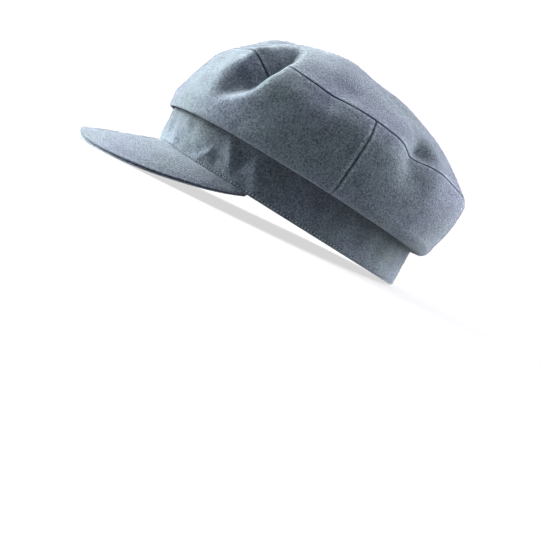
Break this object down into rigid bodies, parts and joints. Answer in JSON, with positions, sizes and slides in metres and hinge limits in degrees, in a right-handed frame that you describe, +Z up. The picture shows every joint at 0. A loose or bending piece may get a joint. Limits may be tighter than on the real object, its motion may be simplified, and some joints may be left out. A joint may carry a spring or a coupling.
{
  "type": "soft felt fiddler cap with a short brim",
  "caption": "Soft wool felt cap with a deep standing band, a short curved brim and a full, softly dented crown that leans out over the band.",
  "frame": {"origin": "centre of the cap's overall box, on the surface that it rests on", "axes": "front is -Y, up is +Z, the wearer's left is +X; the cap leans back about six degrees, on its brim's edge and the back of its band"},
  "size_m": [0.2048, 0.278, 0.1298],
  "materials": {
    "crown_felt": "grey-blue wool felt, fulled, with a fine heathered nap",
    "top_felt": "grey-blue wool felt, fulled, with a fine heathered nap",
    "band_felt": "grey-blue wool felt with a topstitched edge",
    "brim_felt": "grey-blue wool felt, stiffened by its two layers"
  },
  "bodies": {
    "root": {"band": "band_felt", "brim": "brim_felt", "quarter_front_left": "crown_felt", "quarter_front_right": "crown_felt", "quarter_back_left": "crown_felt", "quarter_back_right": "crown_felt", "crown_top": "top_felt"}
  },
  "joints": []
}
